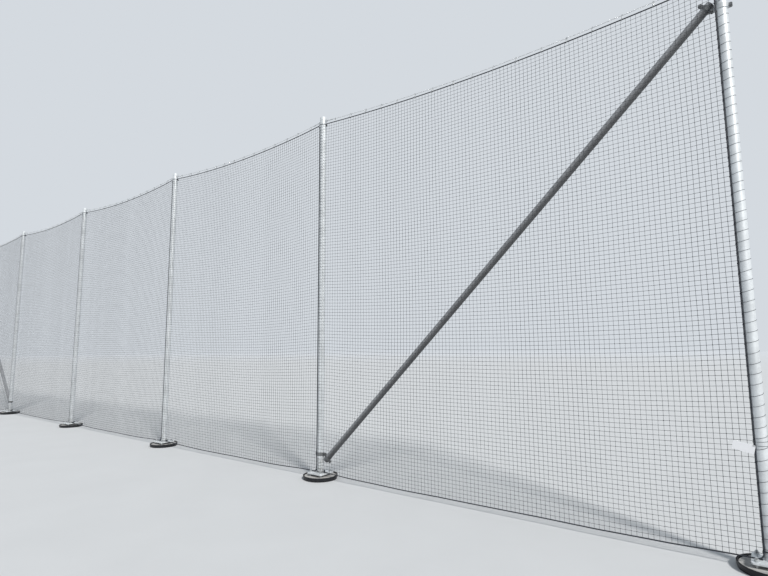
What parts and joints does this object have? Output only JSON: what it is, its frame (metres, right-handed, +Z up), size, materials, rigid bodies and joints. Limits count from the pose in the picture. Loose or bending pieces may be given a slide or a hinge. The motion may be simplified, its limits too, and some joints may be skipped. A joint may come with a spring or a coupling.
{
  "type": "ball stop netting",
  "caption": "Straight row of round galvanised posts on bolted footings, with square-mesh nets hung between them and a raking brace in each end bay.",
  "frame": {"origin": "middle of the underside of the left end footing, at ground level", "axes": "+X along the row from the left end post to the right end post, +Y away from the pitch, +Z up"},
  "size_m": [21.5046, 0.4546, 5],
  "materials": {
    "galvanised_steel": "satin",
    "zinc_fasteners": "satin",
    "wire_rope": "satin",
    "concrete": "matte",
    "form_pipe": "matte",
    "border_rope": "matte",
    "net_twine": "matte"
  },
  "bodies": {
    "root": {"footing_1": "concrete", "footing_2": "concrete", "footing_3": "concrete", "footing_4": "concrete", "footing_5": "concrete", "footing_6": "concrete", "form_ring_1": "form_pipe", "form_ring_2": "form_pipe", "form_ring_3": "form_pipe", "form_ring_4": "form_pipe", "form_ring_5": "form_pipe", "form_ring_6": "form_pipe", "base_plate_1": "galvanised_steel", "base_plate_2": "galvanised_steel", "base_plate_3": "galvanised_steel", "base_plate_4": "galvanised_steel", "base_plate_5": "galvanised_steel", "base_plate_6": "galvanised_steel", "anchor_bolts": "zinc_fasteners", "post_1": "galvanised_steel", "post_2": "galvanised_steel", "post_3": "galvanised_steel", "post_4": "galvanised_steel", "post_5": "galvanised_steel", "post_6": "galvanised_steel", "post_caps": "galvanised_steel", "eye_bolts": "zinc_fasteners", "head_wire": "wire_rope", "border_rope_1": "border_rope", "border_rope_2": "border_rope", "border_rope_3": "border_rope", "border_rope_4": "border_rope", "border_rope_5": "border_rope", "net_panel_1": "net_twine", "net_panel_2": "net_twine", "net_panel_3": "net_twine", "net_panel_4": "net_twine", "net_panel_5": "net_twine", "brace_left": "galvanised_steel", "brace_right": "galvanised_steel", "head_collar_left": "galvanised_steel", "foot_collar_left": "galvanised_steel", "foot_collar_right": "galvanised_steel", "head_collar_right": "galvanised_steel", "collar_bolts": "zinc_fasteners"}
  },
  "joints": []
}
